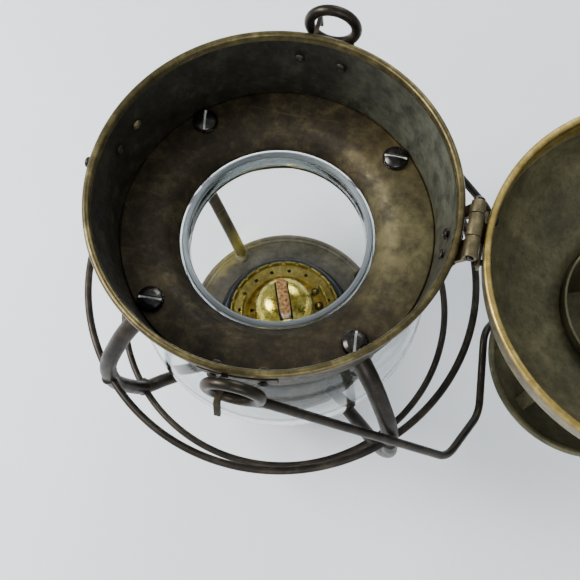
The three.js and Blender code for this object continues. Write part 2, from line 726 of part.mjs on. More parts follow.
const haspReach = HASP_PIVOT_Z - STUD_Z;
const hasp = cut(
  join(
    bar(1.7, [-HASP_PIVOT_R, -2.9, HASP_PIVOT_Z], [0, 1, 0], 5.8),
    block(-77.6, -76.4, -2.9, 2.9, HASP_PIVOT_Z, HASP_PIVOT_Z + 3),
    block(-77.6, -76.4, -5, 5, HASP_PIVOT_Z + 2.4, HASP_PIVOT_Z + 20),
  ),
  haspBore,
  bar(2.8, [-72, 0, HASP_PIVOT_Z + haspReach], [-1, 0, 0], 10, 16),
);
add('lid_hasp', openLid(hasp), 'oldBrass');

// ---------------------------------------------------------------- bail

const bailReach = [Math.cos(BAIL_DROOP * DEG), -Math.sin(BAIL_DROOP * DEG)];
const BAIL_CORNERS = [
  [12.9, -80.2], [142, -66.2], [163.5, -38], [156, 3], [164.5, 13], [156, 23], [163.5, 38],
  [142, 66.2], [14.2, 80.2],
];
const bailPath = soften(BAIL_CORNERS, 7, 4).map(({ x, y }) => new THREE.Vector3(
  BAIL_PIVOT.x + x * bailReach[0],
  y,
  BAIL_PIVOT.z + x * bailReach[1],
));
const bailNormal = [-bailReach[1], 0, bailReach[0]];
add('bail_wire', sweep(bailPath, BAIL_WIRE_R, BAIL_WIRE_R, bailNormal, 8), 'bronze');

for (const [name, y, shift] of [['front', -BAIL_EYE.y, 0], ['back', BAIL_EYE.y, 1.5]]) {
  const eye = new THREE.TorusGeometry(BAIL_EYE.radius, BAIL_EYE.wire, 8, 24);
  eye.rotateX(Math.PI / 2).translate(BAIL_PIVOT.x + shift, y, BAIL_PIVOT.z);
  add(`bail_ring_${name}`, eye, 'bronze');
}

export default lantern;
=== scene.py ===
import math
import random

import bmesh
import bpy
from mathutils import Matrix, Vector, noise


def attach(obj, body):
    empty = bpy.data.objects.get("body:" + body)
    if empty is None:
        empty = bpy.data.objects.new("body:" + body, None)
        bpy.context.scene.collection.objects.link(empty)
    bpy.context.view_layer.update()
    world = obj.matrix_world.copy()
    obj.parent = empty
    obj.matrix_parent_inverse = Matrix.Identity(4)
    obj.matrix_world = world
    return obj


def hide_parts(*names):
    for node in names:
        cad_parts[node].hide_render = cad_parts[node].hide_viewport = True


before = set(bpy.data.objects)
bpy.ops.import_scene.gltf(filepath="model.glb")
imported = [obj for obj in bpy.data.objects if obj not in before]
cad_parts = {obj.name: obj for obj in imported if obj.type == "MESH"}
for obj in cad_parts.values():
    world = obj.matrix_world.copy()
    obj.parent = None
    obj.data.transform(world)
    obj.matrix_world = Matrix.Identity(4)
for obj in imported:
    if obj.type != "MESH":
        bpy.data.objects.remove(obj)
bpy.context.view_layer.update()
random.seed(11)

# Sizes and places, in millimetres and degrees.
MM = 0.001
CORNERS = (45, 135, 225, 315)
FLOOR_DROP = 0.4

# Collar wall: radius and height of its two ends.
WALL_FOOT = (69.9, 175)
WALL_TOP = (73.4, 203.2)
SCREW_CIRCLE_R = 61.5
SCREW_SEAT_Z = 171.3
SCREW_SLOTS = (1, 100, 4, 96)

# Guard: each ring is its radius, its height and the radius of its wire.
ROD_TOP_R = 4.4
ROD_TAPER = 1.1
UPPER_RING = (95.2, 114.3, 1.8)
LOWER_RING = (86.3, 70, 1.75)

# Globe: the radii of its neck and foot are outer, inner.
GLOBE_Z = 103
NECK_R = (42.1, 39.2)
FOOT_R = (37.6, 35.2)

WICK_ANGLE = 112
WICK_HALF = 10
WICK_HALF_THICK = 2.8

HINGE_X = 79.0
HINGE_Z = 207.3
LID_EDGE_Z = 207.4
HASP_X = -77
HASP_Z = 211
STUD_Z = 198

BAIL_PIVOT = (5, 205)
BAIL_DROOP = 50
EYE_R = 10.2
EYE_WIRE = 2.3


# ------------------------------------------------------------ camera, light, floor

def make_camera():
    data = bpy.data.cameras.new("camera")
    data.lens = 52.72
    data.sensor_width = 36
    data.clip_start = 0.01
    camera = bpy.data.objects.new("camera", data)
    right = Vector((0.9728, 0.2300, -0.0259))
    down = Vector((0.2075, -0.9162, -0.3429))
    forward = Vector((-0.1026, 0.3282, -0.9390))
    place = Matrix((right, -down, -forward)).transposed().to_4x4()
    place.translation = (0.0487, -0.1430, 0.5043)
    camera.matrix_world = place
    bpy.context.scene.collection.objects.link(camera)
    bpy.context.scene.camera = camera


def area_light(name, place, target, size, power, colour):
    data = bpy.data.lights.new(name, "AREA")
    data.shape = "DISK"
    data.size = size
    data.energy = power
    data.color = colour
    light = bpy.data.objects.new(name, data)
    light.location = place
    way = Vector(target) - Vector(place)
    light.rotation_euler = way.to_track_quat("-Z", "Y").to_euler()
    bpy.context.scene.collection.objects.link(light)


make_camera()
area_light("key", (-0.85, -0.15, 0.85), (0.02, 0, 0.12), 0.55, 21, (1.0, 0.985, 0.96))
area_light("fill", (0.35, -0.9, 0.9), (0.05, 0, 0.1), 0.7, 6, (0.95, 0.97, 1.0))
area_light("back", (0.15, 0.9, 0.8), (0.05, 0, 0.12), 0.6, 6, (0.97, 0.98, 1.0))
world = bpy.data.worlds.new("studio")
world.use_nodes = True
world.node_tree.nodes["Background"].inputs["Color"].default_value = (0.76, 0.83, 0.90, 1)
world.node_tree.nodes["Background"].inputs["Strength"].default_value = 0.78
bpy.context.scene.world = world


# ------------------------------------------------------------ materials

class Nodes:
    """A small helper round one material's node tree."""

    def __init__(self, name):
        self.material = bpy.data.materials.new(name)
        self.material.use_nodes = True
        self.tree = self.material.node_tree
        self.shader = self.tree.nodes["Principled BSDF"]
        self.coords = self.tree.nodes.new("ShaderNodeTexCoord").outputs["Object"]

    def new(self, kind, **values):
        node = self.tree.nodes.new(kind)
        for key, value in values.items():
            setattr(node, key, value)
        return node

    def link(self, output, target):
        self.tree.links.new(output, target)

    def noise(self, scale, detail=4.0, rough=0.6, stretch=None, distortion=0.0):
        node = self.new("ShaderNodeTexNoise")
        node.inputs["Scale"].default_value = scale
        node.inputs["Detail"].default_value = detail
        node.inputs["Roughness"].default_value = rough
        node.inputs["Distortion"].default_value = distortion
        source = self.coords
        if stretch:
            mapping = self.new("ShaderNodeMapping")
            mapping.inputs["Scale"].default_value = stretch
            self.link(self.coords, mapping.inputs["Vector"])
            source = mapping.outputs["Vector"]
        self.link(source, node.inputs["Vector"])
        return node.outputs["Fac"]

    def ramp(self, value, stops):
        node = self.new("ShaderNodeValToRGB")
        elements = node.color_ramp.elements
        while len(elements) < len(stops):
            elements.new(0.5)
        for element, (at, colour) in zip(elements, stops):
            element.position = at
            element.color = (*colour, 1)
        self.link(value, node.inputs["Fac"])
        return node.outputs["Color"]

    def fit(self, value, low, high, to_low, to_high):
        node = self.new("ShaderNodeMapRange")
        for key, number in (("From Min", low), ("From Max", high),
                            ("To Min", to_low), ("To Max", to_high)):
            node.inputs[key].default_value = number
        self.link(value, node.inputs["Value"])
        return node.outputs["Result"]

    def mix(self, mask, a, b):
        node = self.new("ShaderNodeMix", data_type="RGBA")
        self.link(mask, node.inputs["Factor"])
        for socket, value in ((node.inputs[6], a), (node.inputs[7], b)):
            if isinstance(value, tuple):
                socket.default_value = (*value, 1)
            else:
                self.link(value, socket)
        return node.outputs[2]

    def near(self, centre, reach):
        """1 at a point of the object, falling to 0 at that many millimetres."""
        node = self.new("ShaderNodeVectorMath", operation="DISTANCE")
        node.inputs[1].default_value = [v * MM for v in centre]
        self.link(self.coords, node.inputs[0])
        return self.fit(node.outputs["Value"], 0, reach * MM, 1, 0)

    def times(self, a, b):
        node = self.new("ShaderNodeMath", operation="MULTIPLY")
        self.link(a, node.inputs[0])
        if isinstance(b, float):
            node.inputs[1].default_value = b
        else:
            self.link(b, node.inputs[1])
        return node.outputs["Value"]

    def bump(self, height, strength, distance=0.0002):
        node = self.new("ShaderNodeBump")
        node.inputs["Strength"].default_value = strength
        node.inputs["Distance"].default_value = distance
        self.link(height, node.inputs["Height"])
        self.link(node.outputs["Normal"], self.shader.inputs["Normal"])


def srgb(r, g, b):
    def one(v):
        v = v / 255
        return v / 12.92 if v <= 0.04045 else ((v + 0.055) / 1.055) ** 2.4
    return (one(r), one(g), one(b))


def metal(name, dark, mid, light, metallic=0.75, rough=(0.32, 0.6), blotch=55, grain=700,
          bump=0.25, tint_and_painted_light_patches=(), scratches=0.0, gloss=0.5):
    n = Nodes(name)
    large = n.noise(blotch, 6, 0.7, distortion=0.15)
    colour = n.ramp(large, [(0.22, dark), (0.5, mid), (0.8, light)])
    fine = n.noise(grain * 0.4, 8, 0.8)
    speck = n.ramp(fine, [(0.34, (0.55, 0.55, 0.55)), (0.66, (1.35, 1.35, 1.35))])
    blend = n.new("ShaderNodeMix", data_type="RGBA", blend_type="MULTIPLY")
    blend.inputs["Factor"].default_value = 0.8
    n.link(colour, blend.inputs[6])
    n.link(speck, blend.inputs[7])
    colour = blend.outputs[2]
    # Each patch mixes a colour in around a point: some patches are the metal's own tone, some are
    # painted light and painted sheen.
    for centre, reach, tint, amount in tint_and_painted_light_patches:
        patch = n.times(n.near(centre, reach), n.fit(large, 0.35, 0.6, 0.3, 1.0))
        colour = n.mix(n.times(patch, float(amount)), colour, tint)
    if scratches:
        lines = n.noise(420, 2, 0.5, stretch=(0.08, 1.0, 0.4), distortion=0.3)
        colour = n.mix(n.fit(lines, 0.68, 0.74, 0, scratches), colour, light)
    n.link(colour, n.shader.inputs["Base Color"])
    n.link(n.fit(n.noise(blotch * 3, 4, 0.6), 0.3, 0.7, *rough), n.shader.inputs["Roughness"])
    n.shader.inputs["Metallic"].default_value = metallic
    n.shader.inputs["Specular IOR Level"].default_value = gloss
    n.bump(n.noise(grain * 0.6, 4, 0.6), bump)
    return n.material


def glass(name, tint, rough, frost=False, gloss=0.5):
    n = Nodes(name)
    n.link(n.ramp(n.noise(30, 3), [(0.3, tint), (0.7, tuple(min(1, v * 1.03) for v in tint))]),
           n.shader.inputs["Base Color"])
    low, high = rough
    n.link(n.fit(n.noise(90, 4), 0.3, 0.7, low, high), n.shader.inputs["Roughness"])
    n.shader.inputs["Transmission Weight"].default_value = 0.55 if frost else 1.0
    n.shader.inputs["IOR"].default_value = 1.46
    n.shader.inputs["Specular IOR Level"].default_value = gloss
    n.bump(n.noise(1500 if frost else 18, 2), 0.35 if frost else 0.04)
    return n.material


def soft(name, dark, light, rough, scale, weave=False, sheen=0.0):
    n = Nodes(name)
    base = n.noise(scale, 4, 0.6)
    if weave:
        base = n.noise(2600, 2, 0.5, stretch=(1, 1, 0.25))
    n.link(n.ramp(base, [(0.3, dark), (0.7, light)]), n.shader.inputs["Base Color"])
    n.link(n.fit(base, 0.3, 0.7, *rough), n.shader.inputs["Roughness"])
    n.shader.inputs["Sheen Weight"].default_value = sheen
    n.bump(base, 0.6 if weave else 0.15)
    return n.material


PATINA = metal("patina", srgb(19, 16, 10), srgb(44, 37, 23), srgb(80, 71, 46),
               metallic=0.45, rough=(0.46, 0.68), blotch=105, grain=900, bump=0.4,
               scratches=0.3, gloss=0.28,
               # Patches: at (44, 50) by the 45° screw a painted sheen; at (62, 8) on the right
               # lighter olive patina with painted light; at (-46, -38) a lighter tone.
               tint_and_painted_light_patches=[((62, 8, 171), 46, srgb(134, 126, 88), 0.6),
                      ((44, 50, 171), 26, srgb(120, 106, 68), 0.5),
                      ((-46, -38, 171), 20, srgb(84, 74, 52), 0.4)])
# Inside of the collar: a darker copy of the patina, painted shade in the recess; its patch at (66,
# 34) is painted light on the lit right side.
SHADED_INNER = metal("collar_inside_painted_shade", srgb(14, 12, 8), srgb(34, 31, 23), srgb(62, 60, 47),
              metallic=0.4, rough=(0.46, 0.68), blotch=120, bump=0.35, gloss=0.35,
              tint_and_painted_light_patches=[((66, 34, 192), 70, srgb(104, 107, 92), 0.75)])
RIM = metal("rim_brass", srgb(46, 40, 25), srgb(84, 75, 47), srgb(138, 126, 84),
            metallic=0.85, rough=(0.3, 0.5), blotch=80)
BRONZE = metal("bronze", srgb(20, 17, 13), srgb(42, 36, 29), srgb(74, 66, 55),
               metallic=0.65, rough=(0.34, 0.54), blotch=60, bump=0.3)
BAIL = metal("bail_bronze", srgb(20, 17, 12), srgb(40, 34, 26), srgb(72, 61, 46),
             metallic=0.65, rough=(0.34, 0.55), blotch=80, bump=0.35)
EYE = metal("eye_bronze", srgb(22, 19, 15), srgb(44, 38, 29), srgb(78, 66, 50),
            metallic=0.75, rough=(0.28, 0.45), blotch=110)
STEEL = metal("dark_steel", srgb(30, 28, 27), srgb(58, 55, 52), srgb(110, 105, 98),
              metallic=0.95, rough=(0.18, 0.36), blotch=160, bump=0.15)
BRASS = metal("bright_brass", srgb(120, 104, 30), srgb(176, 158, 66), srgb(226, 214, 130),
              metallic=0.95, rough=(0.16, 0.34), blotch=150, bump=0.15)
TROUGH = metal("brown_brass", srgb(84, 58, 20), srgb(150, 124, 46), srgb(200, 178, 92),
               metallic=0.9, rough=(0.26, 0.46), blotch=180)
FLANGE = metal("olive_brass", srgb(92, 76, 30), srgb(142, 126, 60), srgb(188, 174, 104),
               metallic=0.8, rough=(0.34, 0.52), blotch=150)
AGED = metal("aged_brass", srgb(58, 52, 38), srgb(104, 94, 68), srgb(156, 142, 100),
             metallic=0.8, rough=(0.32, 0.52), blotch=90)
GOLD = metal("brass_solder", srgb(92, 76, 40), srgb(140, 118, 66), srgb(190, 166, 104),
             metallic=0.85, rough=(0.3, 0.5), blotch=220)
DRUM = metal("drum_grey", srgb(52, 48, 40), srgb(88, 82, 70), srgb(126, 120, 104),
             metallic=0.45, rough=(0.42, 0.65), blotch=60, bump=0.35)
TIN = metal("lid_tin", srgb(52, 50, 36), srgb(88, 84, 60), srgb(124, 118, 86),
            metallic=0.5, rough=(0.4, 0.62), blotch=45, bump=0.3)
LIP = metal("lid_lip", srgb(98, 82, 40), srgb(152, 130, 68), srgb(204, 184, 114),
            metallic=0.7, rough=(0.3, 0.5), blotch=90)
# Near-white and barely metallic: a painted highlight for the floor of each screw slot.
SHINE = metal("slot_painted_highlight", srgb(170, 168, 160), srgb(214, 212, 206), srgb(236, 235, 230),
              metallic=0.25, rough=(0.3, 0.5), blotch=300, bump=0.1)
# Neck glass is a grey copy of the clear glass: painted shade under the collar. The ground rim's
# frost is real; its dark tint is painted shade.
SHADED_NECK = glass("neck_glass_painted_shade", (0.34, 0.38, 0.40), (0.03, 0.09), gloss=0.2)
CLEAR = glass("clear_glass", (0.93, 0.96, 0.965), (0.01, 0.03))
GROUND = glass("ground_glass", (0.17, 0.19, 0.20), (0.35, 0.5), frost=True, gloss=0.15)
RUBBER = soft("seal_rubber", srgb(6, 8, 10), srgb(24, 30, 38), (0.28, 0.45), 140)
COTTON = soft("wick_cotton", srgb(160, 122, 96), srgb(226, 196, 170), (0.85, 0.98), 400,
              weave=True, sheen=0.3)
CHAR = soft("wick_char", srgb(64, 40, 22), srgb(230, 176, 112), (0.85, 0.98), 700)


# ------------------------------------------------------------ mesh makers (millimetres in)

def polar(r, angle, z):
    a = math.radians(angle)
    return Vector((r * math.cos(a), r * math.sin(a), z))


def make(name, verts, faces, materials, bands=None, sharp=38):
    mesh = bpy.data.meshes.new(name)
    mesh.from_pydata([tuple(v * MM for v in p) for p in verts], [], faces)
    for material in materials:
        mesh.materials.append(material)
    if bands:
        for polygon in mesh.polygons:
            polygon.material_index = bands(polygon.center / MM)
    build = bmesh.new()
    build.from_mesh(mesh)
    bmesh.ops.recalc_face_normals(build, faces=build.faces)
    build.to_mesh(mesh)
    build.free()
    mesh.polygons.foreach_set("use_smooth", [True] * len(mesh.polygons))
    mesh.set_sharp_from_angle(angle=math.radians(sharp))
    piece = bpy.data.objects.new(name, mesh)
    bpy.context.scene.collection.objects.link(piece)
    return piece


def rounded(outline, reach, steps=3):
    """Rounds every corner of a closed outline that is off the axis."""
    points = []
    count = len(outline)
    for i, here in enumerate(outline):
        here = Vector(here)
        if here.x < 1e-6:
            points.append(here)
            continue
        before = Vector(outline[i - 1]) - here
        after = Vector(outline[(i + 1) % count]) - here
        r = min(reach, before.length * 0.42, after.length * 0.42)
        start = here + before.normalized() * r
        end = here + after.normalized() * r
        for k in range(steps + 1):
            t = k / steps
            points.append(start * (1 - t) ** 2 + here * (2 * t * (1 - t)) + end * t ** 2)
    return points


def revolve(outline, segments=128, reach=0.6):
    """Vertices and faces of a closed outline of (radius, height) turned about Z."""
    points = rounded(outline, reach)
    verts, rows = [], []
    for r, z in points:
        if r < 1e-6:
            rows.append([len(verts)])
            verts.append(Vector((0, 0, z)))
            continue
        rows.append(list(range(len(verts), len(verts) + segments)))
        verts += [polar(r, 360 * k / segments, z) for k in range(segments)]
    faces = []
    for i, row in enumerate(rows):
        other = rows[(i + 1) % len(rows)]
        if len(row) == 1 and len(other) == 1:
            continue
        for k in range(segments):
            j = (k + 1) % segments
            if len(row) == 1:
                faces.append((row[0], other[j], other[k]))
            elif len(other) == 1:
                faces.append((row[k], row[j], other[0]))
            else:
                faces.append((row[k], row[j], other[j], other[k]))
    return verts, faces


def sweep(path, radius, sides=18, closed=False):
    """A round bar along a path; radius is a function of the share of the path passed."""
    count = len(path)
    tangents = []
    for i in range(count):
        if closed:
            tangents.append((path[(i + 1) % count] - path[i - 1]).normalized())
        else:
            tangents.append((path[min(i + 1, count - 1)] - path[max(i - 1, 0)]).normalized())
    normal = tangents[0].orthogonal().normalized()
    rows, verts = [], []
    steps = [(path[i], tangents[i], radius(i / max(count - 1, 1))) for i in range(count)]
    if not closed:
        first, last = steps[0], steps[-1]
        cap = [(0.35, 0.94), (0.75, 0.66)]
        head = [(first[0] - first[1] * first[2] * 0.4 * b, first[1], first[2] * a)
                for a, b in cap]
        tail = [(last[0] + last[1] * last[2] * 0.4 * b, last[1], last[2] * a)
                for a, b in reversed(cap)]
        steps = head + steps + tail
    for point, tangent, r in steps:
        normal = (normal - tangent * normal.dot(tangent)).normalized()
        other = tangent.cross(normal)
        rows.append(len(verts))
        for k in range(sides):
            a = 2 * math.pi * k / sides
            verts.append(point + normal * (r * math.cos(a)) + other * (r * math.sin(a)))
    faces = []
    pairs = list(zip(rows, rows[1:])) + ([(rows[-1], rows[0])] if closed else [])
    for a, b in pairs:
        for k in range(sides):
            j = (k + 1) % sides
            faces.append((a + k, a + j, b + j, b + k))
    if not closed:
        faces.append(tuple(range(sides - 1, -1, -1)))
        faces.append(tuple(rows[-1] + k for k in range(sides)))
    return verts, faces


def prism(outline, low, high):
    """A flat outline of (x, y) pairs extruded from one height to another."""
    count = len(outline)
    verts = [Vector((x, y, low)) for x, y in outline]
    verts += [Vector((x, y, high)) for x, y in outline]
    faces = [tuple(range(count - 1, -1, -1)), tuple(range(count, 2 * count))]
    for k in range(count):
        j = (k + 1) % count
        faces.append((k, j, count + j, count + k))
    return verts, faces


def moved(shape, change):
    verts, faces = shape
    return [change(v) for v in verts], faces


def joined(*shapes):
    verts, faces = [], []
    for more_verts, more_faces in shapes:
        base = len(verts)
        verts += more_verts
        faces += [tuple(base + i for i in face) for face in more_faces]
    return verts, faces


def turned(angle):
    matrix = Matrix.Rotation(math.radians(angle), 3, "Z")
    return lambda v: matrix @ v


def along(start, way):
    turn = Vector((0, 0, 1)).rotation_difference(Vector(way).normalized())
    start = Vector(start)
    return lambda v: turn @ v + start


def open_lid(v):
    return Vector((2 * HINGE_X - v.x, v.y, 2 * HINGE_Z - v.z))


def radial_plate(outline, side0, side1, angle=0):
    """An outline of (radius, z) pairs extruded across a width, upright at an angle."""
    shape = prism(outline, side0, side1)
    turn = turned(angle)
    return moved(shape, lambda v: turn(Vector((v.x, v.z, v.y))))


def sector(r0, r1, z0, z1, a0, a1, steps=24):
    outline = []
    for r, order in ((r1, range(steps + 1)), (r0, range(steps, -1, -1))):
        for i in order:
            p = polar(r, a0 + (a1 - a0) * i / steps, 0)
            outline.append((p.x, p.y))
    return prism(outline, z0, z1)


def bar(radius, start, way, length, sides=32, reach=0.2):
    outline = [(0, 0), (radius, 0), (radius, length), (0, length)]
    return moved(revolve(outline, sides, reach), along(start, way))


def carve(piece, *shapes):
    """Cuts shapes out of a piece and keeps the result as its own mesh."""
    for shape in shapes:
        cutter = make("cutter", *shape, [])
        tool = piece.modifiers.new("cut", "BOOLEAN")
        tool.operation = "DIFFERENCE"
        tool.solver = "EXACT"
        tool.object = cutter
        graph = bpy.context.evaluated_depsgraph_get()
        result = bpy.data.meshes.new_from_object(piece.evaluated_get(graph))
        piece.modifiers.clear()
        piece.data = result
        bpy.data.objects.remove(cutter)
    piece.data.polygons.foreach_set("use_smooth", [True] * len(piece.data.polygons))
    piece.data.set_sharp_from_angle(angle=math.radians(38))
    return piece


def soften(piece, width=0.25, segments=2):
    """A small bevel on the hard edges."""
    tool = piece.modifiers.new("edges", "BEVEL")
    tool.width = width * MM
    tool.segments = segments
    tool.limit_method = "ANGLE"
    tool.angle_limit = math.radians(40)
    return piece


def settle(piece, body, slot, *nodes):
    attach(piece, body)
    if nodes:
        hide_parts(*nodes)
    return piece


def blob(name, centre, size, material, body, slot, seed):
    """A small uneven lump of metal."""
    build = bmesh.new()
    bmesh.ops.create_icosphere(build, subdivisions=3, radius=1)
    for vert in build.verts:
        wave = 1 + 0.22 * noise.noise(vert.co * 1.6 + Vector((seed, 0, seed)))
        vert.co = Vector([c * s * wave for c, s in zip(vert.co, size)])
        vert.co = (vert.co + Vector(centre)) * MM
    mesh = bpy.data.meshes.new(name)
    build.to_mesh(mesh)
    build.free()
    mesh.materials.append(material)
    mesh.polygons.foreach_set("use_smooth", [True] * len(mesh.polygons))
    piece = bpy.data.objects.new(name, mesh)
    bpy.context.scene.collection.objects.link(piece)
    return settle(piece, body, slot)


def spline(points, per):
    """A smooth curve through points (Catmull-Rom)."""
    ends = [points[0] * 2 - points[1], *points, points[-1] * 2 - points[-2]]
    result = []
    for i in range(1, len(ends) - 2):
        p0, p1, p2, p3 = ends[i - 1:i + 3]
        for k in range(per):
            t = k / per
            result.append(0.5 * ((2 * p1) + (p2 - p0) * t
                                 + (2 * p0 - 5 * p1 + 4 * p2 - p3) * t ** 2
                                 + (3 * p1 - p0 - 3 * p2 + p3) * t ** 3))
    result.append(points[-1])
    return result


# ------------------------------------------------------------ floor

floor = make("floor", [Vector((x, y, 0)) for x, y in
                       ((-3000, -3000), (3000, -3000), (3000, 3000), (-3000, 3000))],
             [(0, 1, 2, 3)], [soft("floor_paper", (0.88, 0.90, 0.92), (0.92, 0.94, 0.96),
                                   (0.7, 0.8), 6)])
floor.location.z = -FLOOR_DROP * MM


# ------------------------------------------------------------ collar and crown

collar = [(67, 168.2), (68.4, 168.2), (69.4, 171), WALL_FOOT, WALL_TOP, (74.7, 203.9),
          (75.2, 205.2), (74.7, 206.5), (73.6, 207), (72.4, 206.6), (71.9, 205.6),
          (71.9, 203.5), (68.6, 175), (68.1, 171.5), (68, 169.1), (67, 169.1)]


def wall_r(z):
    """Outer radius of the sloping collar wall at a height."""
    (r0, z0), (r1, z1) = WALL_FOOT, WALL_TOP
    return r0 + (r1 - r0) * (z - z0) / (z1 - z0)


def wall_plate(z0, z1, a0, a1, steps=24):
    """A plate lying on the sloping collar wall."""
    verts, faces = [], []
    for k in range(steps + 1):
        angle = a0 + (a1 - a0) * k / steps
        verts += [polar(wall_r(z) + reach, angle, z)
                  for z, reach in ((z0, 0.3), (z0, 1.7), (z1, 1.7), (z1, 0.3))]
    for k in range(steps):
        for j in range(4):
            a, b = 4 * k + j, 4 * k + (j + 1) % 4
            faces.append((a, b, b + 4, a + 4))
    last = 4 * steps
    return verts, [*faces, (3, 2, 1, 0), (last, last + 1, last + 2, last + 3)]


def collar_band(p):
    """Index of the material: 2 rolled rim, 1 inner wall in the darker painted-shade patina, 0 the
    rest.
    """
    if p.z > 203.3:
        return 2
    return 1 if p.z > 171.2 and math.hypot(p.x, p.y) < wall_r(p.z) - 0.7 else 0


piece = make("collar", *revolve(collar, 192, 0.7), [PATINA, SHADED_INNER, RIM], collar_band)
settle(piece, "lantern", "dark_patina", "collar_shell")

crown = [(67.6, 169.4), (67.6, 171), (58, 171), (52, 170.2), (47.5, 167.8), (44.6, 164.6),
         (43.2, 162.8), (42.8, 161.2), (44.1, 160.9), (45.6, 163.2), (48.6, 166.4),
         (52.6, 168.7), (58.2, 169.4)]
piece = make("crown", *revolve(crown, 160, 1.6), [PATINA])
settle(piece, "lantern", "dark_patina", "crown_plate")

for i, (angle, slot) in enumerate(zip(CORNERS, SCREW_SLOTS)):
    head = [(0, 163.6), (2.4, 163.6), (2.4, SCREW_SEAT_Z), (5.8, SCREW_SEAT_Z),
            (5.8, 172.1), (5.1, 173.4), (3.2, 174.4), (0, 174.8)]
    shape = moved(revolve(head, 48, 0.5), lambda v: v + polar(SCREW_CIRCLE_R, angle, 0))
    piece = make(f"screw_{i + 1}", *shape, [STEEL])
    cutter = prism([(-7, -0.65), (7, -0.65), (7, 0.65), (-7, 0.65)], 173.1, 178)
    turn = turned(slot)
    carve(piece, moved(cutter, lambda v: turn(v) + polar(SCREW_CIRCLE_R, angle, 0)))
    settle(soften(piece, 0.12), "lantern", "dark_steel", f"crown_screw_{i + 1}")
    # A near-white strip on the floor of the slot: painted highlight.
    strip = prism([(-4.9, -0.5), (4.9, -0.5), (4.9, 0.5), (-4.9, 0.5)], 173.0, 173.3)
    shape = moved(strip, lambda v: turn(v) + polar(SCREW_CIRCLE_R, angle, 0))
    settle(make(f"slot_floor_{i + 1}", *shape, [SHINE]), "lantern", "dark_steel")


# ------------------------------------------------------------ rivets

def rivet(name, node, angle, z, inner, outer, material, slot, body="lantern", head=2.3,
          change=None):
    outline = [(0, inner - 1.5), (head * 0.6, inner - 1.3), (head, inner - 0.4),
               (head, inner), (1.2, inner), (1.2, outer), (head, outer),
               (head, outer + 0.3), (head * 0.6, outer + 1.1), (0, outer + 1.3)]
    shape = moved(revolve(outline, 28, 0.5), along((0, 0, z), polar(1, angle, 0)))
    if change:
        shape = moved(shape, change)
    settle(make(name, *shape, [material]), body, slot, node)


ear_rivets = ((265.6, 195), (280.5, 195), (79.5, 195), (94.4, 195))
for i, (angle, z) in enumerate(ear_rivets):
    rivet(f"ear_stud_{i + 1}", f"ear_rivet_{i + 1}", angle, z, 69.9, 74.7, BRONZE,
          "cage_bronze")
for i, (angle, z) in enumerate(((160, 193), (171, 193))):
    rivet(f"latch_stud_rivet_{i + 1}", f"latch_rivet_{i + 1}", angle, z, 69.9, 74.7,
          (AGED, BRONZE)[i], "aged_brass")
for i, (angle, z) in enumerate(((1.8, 194), (-5.7, 194))):
    rivet(f"leaf_rivet_{i + 1}", f"collar_hinge_rivet_{i + 1}", angle, z, 69.9, 75.4, BRONZE,
          "cage_bronze")
for i, (angle, z) in enumerate(((7.2, 215.4), (-7.2, 215.4))):
    rivet(f"lid_leaf_rivet_{i + 1}", f"lid_hinge_rivet_{i + 1}", angle, z, 71.5, 76.3, BRONZE,
          "cage_bronze", "lid", 1.9, open_lid)


# ------------------------------------------------------------ guard cage

ROD_HEAD = [(61.5, 168.9), (61.5, 165.2), (63.4, 162.4), (68, 160.2), (73, 157),
            (78.6, 151.6), (84, 144.3), (90.2, 134), (94, 123)]
ELBOW = [(95.3, 111), (95.2, 100), (92, 86)]
KNOCKED = [(95.4, 112), (97, 102), (97.2, 93), (93.5, 80)]
ROD_TAIL = [(86.3, 70), (75.5, 62.6), (62, 52.6), (53.2, 43.6), (50.4, 40.6)]
for i, angle in enumerate(CORNERS):
    line = ROD_HEAD + (KNOCKED if angle == 315 else ELBOW) + ROD_TAIL
    path = spline([polar(r, angle, z) for r, z in line], 6)
    shape = sweep(path, lambda t: ROD_TOP_R - ROD_TAPER * t, 28)
    piece = make(f"rod_{i + 1}", *shape, [BRONZE])
    settle(piece, "lantern", "cage_bronze", f"guard_rod_{i + 1}")
    blob(f"rod_foot_{i + 1}", polar(49.4, angle, 39.3), (4.0, 4.0, 0.8), DRUM, "lantern",
         "cage_bronze", 3 + i)
    blob(f"upper_joint_{i + 1}", polar(95.4, angle, UPPER_RING[1]), (3.9, 4.6, 3.0), BRONZE,
         "lantern", "cage_bronze", 13 + i)
    blob(f"lower_joint_{i + 1}", polar(86.4, angle, LOWER_RING[1]), (3.9, 4.6, 3.1), BRONZE,
         "lantern", "cage_bronze", 23 + i)


def hoop(radius, z, wire, count=180):
    """A guard ring, a little wavy in height."""
    path = [polar(radius, 360 * k / count, z + 0.25 * math.sin(k * 0.13)) for k in range(count)]
    return sweep(path, lambda t: wire, 18, closed=True)


settle(make("upper_hoop", *hoop(*UPPER_RING), [BRONZE]), "lantern", "cage_bronze",
       "upper_guard_ring")
settle(make("lower_hoop", *hoop(*LOWER_RING), [BRONZE]), "lantern", "cage_bronze",
       "lower_guard_ring")


# ------------------------------------------------------------ glass globe

def globe_arc(radius, crown, low, high, steps):
    """The bulb between its necks; the upper half is flatter than a sphere."""
    start, end = -math.acos(low / radius), math.acos(high / radius)
    angles = [start + (end - start) * i / steps for i in range(steps + 1)]
    return [(radius * math.cos(a), GLOBE_Z + (crown if a > 0 else radius) * math.sin(a))
            for a in angles]


globe = [(FOOT_R[0], 38.3), *globe_arc(71.5, 60, FOOT_R[0], NECK_R[0], 40),
         (NECK_R[0], 161.7), (41.6, 162.3), (39.9, 162.3), (NECK_R[1], 161.5),
         *reversed(globe_arc(69.5, 58, FOOT_R[1], NECK_R[1], 40)), (FOOT_R[1], 38.3)]
